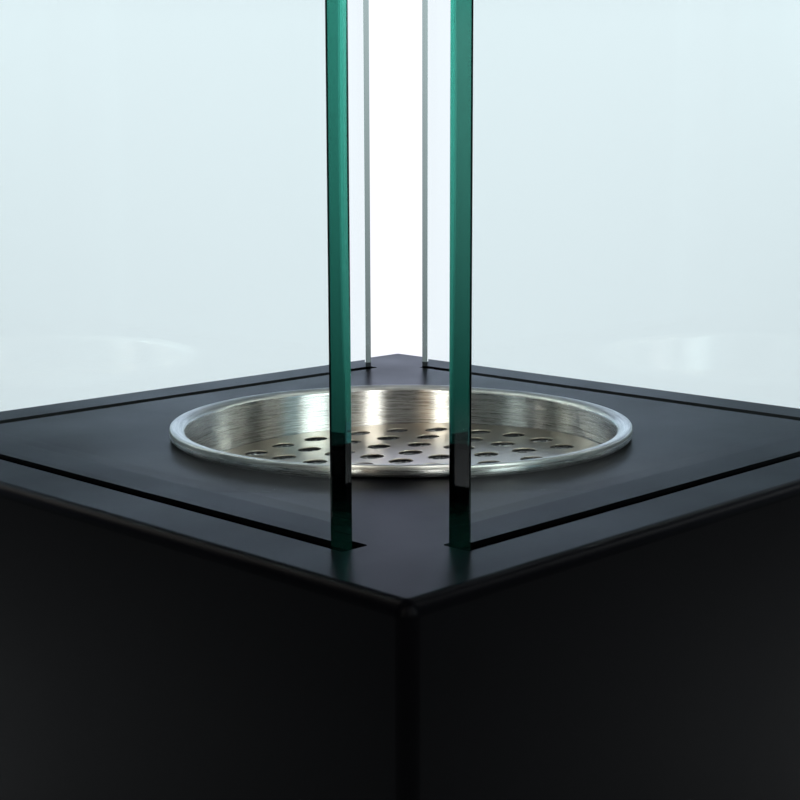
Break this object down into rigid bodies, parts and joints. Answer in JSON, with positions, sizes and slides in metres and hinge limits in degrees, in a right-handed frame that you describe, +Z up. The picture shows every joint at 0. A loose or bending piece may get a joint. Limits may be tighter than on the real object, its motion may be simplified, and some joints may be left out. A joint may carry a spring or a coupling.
{
  "type": "bioethanol fireplace",
  "caption": "Free-standing bioethanol fireplace: square black steel base, round stainless burner with perforated plate, glass panels standing in slots around it.",
  "frame": {"origin": "on the floor, under the centre of the square casing", "axes": "+Z up, -Y the front side, +X the right side; the picture looks at the corner between the front and left sides"},
  "size_m": [0.3, 0.3, 0.42],
  "materials": {
    "black_paint": "satin black powder coat with a fine grain",
    "zinc_steel": "zinc plated sheet and fasteners",
    "stainless": "stainless steel, brushed round the burner's axis, polished rim",
    "rubber": "matt black rubber",
    "ceramic_wool": "fibrous ceramic wool, greyed by use",
    "glass": "clear toughened float glass with polished green edges"
  },
  "bodies": {
    "base": {"casing": "black_paint", "bottom_plate": "black_paint", "spill_tray": "zinc_steel", "plate_screw_1": "zinc_steel", "plate_screw_2": "zinc_steel", "plate_screw_3": "zinc_steel", "plate_screw_4": "zinc_steel", "plate_screw_5": "zinc_steel", "plate_screw_6": "zinc_steel", "plate_screw_7": "zinc_steel", "plate_screw_8": "zinc_steel", "tray_rivet_1": "zinc_steel", "tray_rivet_2": "zinc_steel", "tray_rivet_3": "zinc_steel", "foot_front_left": "rubber", "foot_front_right": "rubber", "foot_back_right": "rubber", "foot_back_left": "rubber", "foot_screw_front_left": "zinc_steel", "foot_screw_front_right": "zinc_steel", "foot_screw_back_right": "zinc_steel", "foot_screw_back_left": "zinc_steel", "glass_channel_front": "black_paint", "glass_channel_right": "black_paint", "glass_channel_back": "black_paint", "glass_channel_left": "black_paint", "glazing_strip_front": "rubber", "glazing_strip_right": "rubber", "glazing_strip_back": "rubber", "glazing_strip_left": "rubber", "channel_nut_front_1": "zinc_steel", "channel_nut_front_2": "zinc_steel", "channel_nut_right_1": "zinc_steel", "channel_nut_right_2": "zinc_steel", "channel_nut_back_1": "zinc_steel", "channel_nut_back_2": "zinc_steel", "channel_nut_left_1": "zinc_steel", "channel_nut_left_2": "zinc_steel", "burner_collar": "zinc_steel"},
    "front_panel": {"glass_front": "glass"},
    "right_panel": {"glass_right": "glass"},
    "back_panel": {"glass_back": "glass"},
    "left_panel": {"glass_left": "glass"},
    "burner": {"burner_cup": "stainless", "ceramic_wool": "ceramic_wool"},
    "perforated_plate": {"perforated_disc": "stainless"}
  },
  "joints": [
    {"name": "front_panel_lift", "type": "slide", "parent": "base", "child": "front_panel", "axis": [0, 0, 1], "range_m": [0, 0.035]},
    {"name": "right_panel_lift", "type": "slide", "parent": "base", "child": "right_panel", "axis": [0, 0, 1], "range_m": [0, 0.035]},
    {"name": "back_panel_lift", "type": "slide", "parent": "base", "child": "back_panel", "axis": [0, 0, 1], "range_m": [0, 0.035]},
    {"name": "left_panel_lift", "type": "slide", "parent": "base", "child": "left_panel", "axis": [0, 0, 1], "range_m": [0, 0.035]},
    {"name": "burner_lift", "type": "slide", "parent": "base", "child": "burner", "axis": [0, 0, 1], "range_m": [0, 0.065]},
    {"name": "perforated_plate_lift", "type": "slide", "parent": "burner", "child": "perforated_plate", "axis": [0, 0, 1], "range_m": [0, 0.03]}
  ]
}
